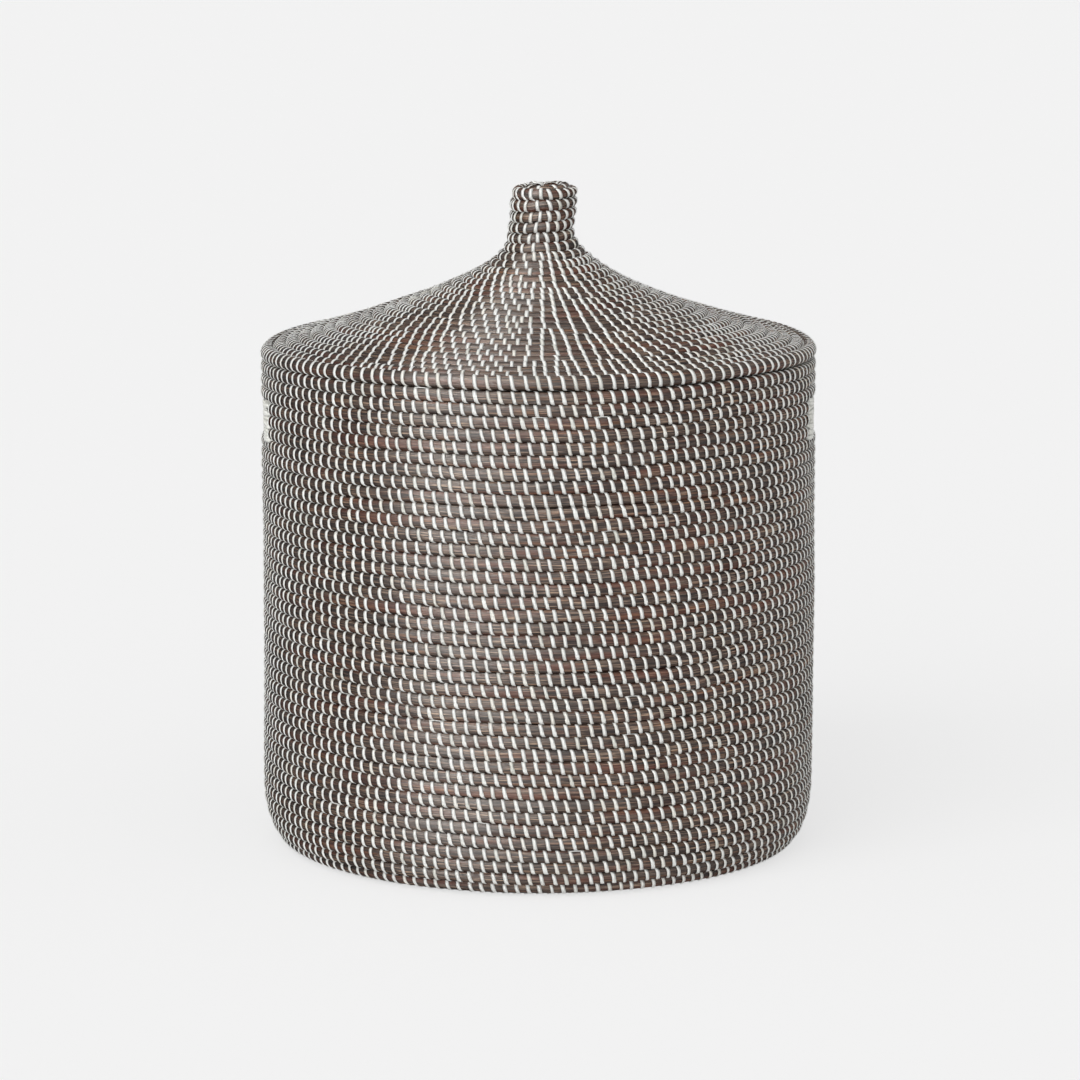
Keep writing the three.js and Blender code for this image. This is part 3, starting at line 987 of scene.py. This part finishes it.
for sideName, signX in (("left", -1), ("right", 1)):
    for endName, signY in (("front", -1), ("back", 1)):
        makeBinding(f"binding{sideName.title()}{endName.title()}", signX, signY,
                    200 + 10 * signX + signY, f"binding_{sideName}_{endName}")
print("handholes bound")


# The lid

def lidRow(radius):
    wide = between(radius, lid["thinUpTo"], lid["wideFrom"])
    return lid["thinRow"] + (lid["wideRow"] - lid["thinRow"]) * wide


lidCoil = makeCoil(lidOutline, lid["bundle"], -1, settleLid, lid["squareness"], lidRow)
lidEnd = lidCoil["turnsInAll"]


def turnsUpTo(height):
    # whole turns from the lid's edge up to a height on the knob
    middles = frameAt(lidCoil, np.arange(int(lidEnd)) + 0.5, plain=True)
    return int(np.argmax((middles["z"] >= height) & (middles["r"] <= knobRadius)))


knobStart = turnsUpTo(knobFoot)
capStart = turnsUpTo(lidTop - lid["capHeight"])
grassPiece("lidConeGrass", lidCoil, [(coilShape["endCut"], knobStart)], "lid", "lid_cone_coil")
grassPiece("knobGrass", lidCoil, [(knobStart, capStart)], "lid", "knob_coil")
grassPiece("knobCapGrass", lidCoil, [(capStart, lidEnd)], "lid", "knob_cap_coil")


def inSector(turns, first, last, blend):
    # 1 in one sector of the lid, 0 outside it; in shares of a turn, where 0.5 is the front
    share = turns % 1
    return smoothStep((share - first) / lid["sectorBlend"]) * smoothStep((last - share) / blend)


def gapsAfter(shares):
    return np.diff(np.append(shares, shares[0] + 1))


def lidStitches(seed):
    # from the knob outwards the stitches of a row lie on those of the row before, and new ones
    # come in at the widest gaps; in one sector every other row is set off by half a gap
    rng = np.random.default_rng(seed)
    places = []
    first, loose = lid["firstStitches"], lid["firstSpread"]
    shares = (np.arange(first) + rng.uniform(-loose, loose, first)) / first % 1
    for turn in range(int(lidEnd), -1, -1):
        spot = frameAt(lidCoil, np.array([turn + 0.5]))
        radius = max(float(spot["r"][0] + spot["deep"][0] * spot["outR"][0]), lid["leastRadius"])
        spacing = np.interp(radius, (knobRadius, lid["spacingRadius"]),
                            (lid["knobSpacing"], lid["stitchSpacing"]))
        inTurn = 2 * math.pi * radius / spacing
        shares = np.sort((shares + rng.normal(0, lid["placeSpread"], len(shares)) / inTurn) % 1)
        gaps = gapsAfter(shares)
        missing = max(int(inTurn) - len(shares), 0)
        widest = np.argsort(-gaps * rng.uniform(*lid["gapSpread"], len(gaps)))[:missing]
        shares = np.sort(np.concatenate([shares, (shares + gaps / 2)[widest] % 1]))
        for _ in range(2):
            gaps = gapsAfter(shares)
            shares = np.sort((shares + lid["evening"] * (gaps - np.roll(gaps, 1))) % 1)
        shift = 0.5 * (turn % 2) * inSector(shares, *lid["setOff"]) * gapsAfter(shares)
        places.append(turn + np.sort((shares + shift) % 1))
    turns = np.concatenate(places)
    bareEdge, bareMiddle = lid["bareEnds"]
    return turns[(turns > bareEdge) & (turns < lidEnd - bareMiddle)]


lidTurns = lidStitches(330)
lidZones = [
    ("lidConeStitches", 0, knobStart, "lid_cone_coil"),
    ("knobStitches", knobStart, capStart, "knob_coil"),
    ("knobCapStitches", capStart, lidEnd, "knob_cap_coil"),
]
for k, (name, low, high, node) in enumerate(lidZones):
    turns = lidTurns[(lidTurns >= low) & (lidTurns < high)]
    slant = lid["slant"] * (1 - lid["lessSlant"] * inSector(turns, *lid["upright"]))
    loops = stitchLoops(lidCoil, turns, 340 + k, lid["stitchSpacing"], slant=slant,
                        pierce=lid["pierce"][k])
    strapPiece(name, [loops], "lid", node)


# Level rows: the lid's rim and the ring under the lid

levelShape = {
    "rimWay": math.radians(-53),  # the way to the rim row's outer edge, up from level
    "rimStitches": 143,
    "ringBundle": 0.0088,
    "ringStitches": 130,
    "placeSpread": 0.03,
    "slant": 0.0040,
}


def levelCoil(edge, top, bundle, rows):
    # from the lower outer edge of the row to its upper one
    outline = makeOutline([edge, top], -1)
    return makeCoil(outline, bundle, -1, settleLid, lid["squareness"], levelRows=rows)


def levelPiece(name, coil, seed, inTurn, node):
    rows = range(coil["turnsInAll"])
    grassPiece(name + "Grass", coil, [(row, row + 1, True) for row in rows], "lid", node)
    rng = np.random.default_rng(seed)
    spread = levelShape["placeSpread"]
    turns = np.concatenate([row + (np.arange(inTurn) + 0.5 + rng.normal(0, spread, inTurn)) / inTurn
                            for row in rows])
    spacing = spacingAt(coil["outline"]["r"][0], inTurn)
    loops = stitchLoops(coil, turns, seed, spacing, slant=levelShape["slant"])
    strapPiece(name + "Stitches", [loops], "lid", node)


toEdge = np.array([math.cos(levelShape["rimWay"]), math.sin(levelShape["rimWay"])])
upward = np.array([-toEdge[1], toEdge[0]])
lidRimCoil = levelCoil(rimRow + (toEdge + upward) * half, rimRow + (upward - toEdge) * half,
                       lid["rimThickness"], 1)
levelPiece("lidRim", lidRimCoil, 353, levelShape["rimStitches"], "lid_rim_coil")

ringLow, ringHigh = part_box("lid_locating_ring")
ringCoil = levelCoil((ringHigh[0], ringLow[2]), (ringHigh[0], ringHigh[2]),
                     levelShape["ringBundle"], 2)
levelPiece("locatingRing", ringCoil, 371, levelShape["ringStitches"], "lid_locating_ring")
print("lid made")


# Floor, light and camera

studio = {
    "seen": 0.8879,       # brightness of the background
    "skyFront": 0.80,
    "skyBack": 0.40,
    "skySpan": (-0.7, 0.7),
    "floorReach": 40.0,
    "floorShade": 0.85,
    "shadowShare": 0.30,  # how much of the floor's look is lit, with its shadow
    "floorGlow": 0.9531,
}

# angles in degrees, the turn from the front and negative towards -X; the second lamp shows
# only as a sheen
lamps = {
    "key": {"power": 1.8, "color": (1, 1, 1), "softness": 62, "turn": -28, "height": 28},
    "sheen": {"power": 9.0, "color": (1.0, 0.94, 0.88), "softness": 14, "turn": -46, "height": 50},
}


def makeFloor():
    reach = studio["floorReach"]
    mesh = bpy.data.meshes.new("floor")
    corners = [(x * reach, y * reach, 0) for x, y in ((-1, -1), (1, -1), (1, 1), (-1, 1))]
    mesh.from_pydata(corners, [], [(0, 1, 2, 3)])
    floor = addObject("floor", mesh)
    material = bpy.data.materials.new("paleFloor")
    tree = emptyTree(material)
    plain = addNode(tree, "BsdfDiffuse", inputs={"Color": grey(studio["floorShade"])})
    bright = addNode(tree, "Emission", inputs={"Color": grey(studio["floorGlow"])})
    seen = addNode(tree, "MixShader", inputs={
        0: studio["shadowShare"], 1: bright.outputs[0], 2: plain.outputs[0]})
    mixed = addNode(tree, "MixShader", inputs={
        0: seenDirectly(tree), 1: plain.outputs[0], 2: seen.outputs[0]})
    addNode(tree, "OutputMaterial", inputs={"Surface": mixed.outputs[0]})
    mesh.materials.append(material)


def seenDirectly(tree):
    rays = addNode(tree, "LightPath").outputs
    mirrored = calculate(tree, "MAXIMUM", rays["Is Glossy Ray"], rays["Is Transmission Ray"])
    return calculate(tree, "MAXIMUM", rays["Is Camera Ray"], mirrored)


def makeWorld():
    world = bpy.data.worlds.new("studio")
    tree = emptyTree(world)
    shown = addNode(tree, "Background", inputs={"Color": grey(studio["seen"])})
    place = addNode(tree, "TexCoord").outputs["Generated"]
    depth = addNode(tree, "SeparateXYZ", inputs={"Vector": place}).outputs["Y"]
    sky = remap(tree, depth, *studio["skySpan"], studio["skyFront"], studio["skyBack"])
    lights = addNode(tree, "Background", inputs={"Color": grey(1), "Strength": sky})
    mix = addNode(tree, "MixShader", inputs={
        0: seenDirectly(tree), 1: lights.outputs[0], 2: shown.outputs[0]})
    addNode(tree, "OutputWorld", inputs={"Surface": mix.outputs[0]})
    bpy.context.scene.world = world


def makeLamp(name):
    look = lamps[name]
    light = bpy.data.lights.new(name, "SUN")
    light.energy = look["power"]
    light.color = look["color"]
    light.angle = math.radians(look["softness"])
    lamp = addObject(name, light)
    lamp.rotation_euler = (math.radians(90 - look["height"]), 0, math.radians(look["turn"]))
    return lamp


view = {
    "distance": 5.28675,  # in front of the axis
    "height": 1.2811,
    "aside": 0.0015,
    "pitch": 0.188232,
    "lens": 197.93,
    "sensor": 36,
    "farEnd": 200,
}


def makeCamera():
    lens = bpy.data.cameras.new("camera")
    lens.lens = view["lens"]
    lens.sensor_width = view["sensor"]
    lens.clip_end = view["farEnd"]
    camera = addObject("camera", lens)
    camera.location = (view["aside"], -view["distance"], view["height"])
    camera.rotation_euler = (math.pi / 2 - view["pitch"], 0, 0)
    bpy.context.scene.camera = camera


makeFloor()
makeWorld()
makeLamp("key")
makeLamp("sheen").visible_diffuse = False
makeCamera()
bpy.context.scene.view_settings.view_transform = "Standard"
print("studio ready")
